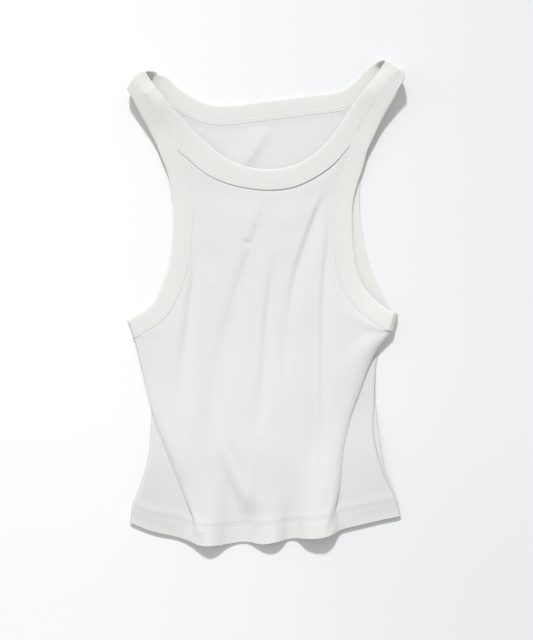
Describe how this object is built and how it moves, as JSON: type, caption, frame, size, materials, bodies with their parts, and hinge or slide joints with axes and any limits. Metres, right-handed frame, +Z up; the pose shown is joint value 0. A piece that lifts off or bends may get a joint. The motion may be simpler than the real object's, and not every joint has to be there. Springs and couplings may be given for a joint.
{
  "type": "tank top",
  "caption": "Cropped sleeveless tank top in fine ribbed cotton with wide bound neck and armholes, laid flat on its back with soft lengthwise folds.",
  "frame": {"origin": "middle of the garment's box on the surface that it lies on", "axes": "+X is the right of the garment as seen from above, +Y runs from the hem to the straps, +Z is up from the surface"},
  "size_m": [0.306, 0.533, 0.0236],
  "materials": {
    "rib_cloth": "matte off-white ribbed cotton jersey",
    "binding_cloth": "matte off-white ribbed cotton binding, folded double"
  },
  "bodies": {
    "root": {"front_panel": "rib_cloth", "back_panel": "rib_cloth", "neck_binding": "binding_cloth", "armhole_binding_left": "binding_cloth", "armhole_binding_right": "binding_cloth"}
  },
  "joints": []
}
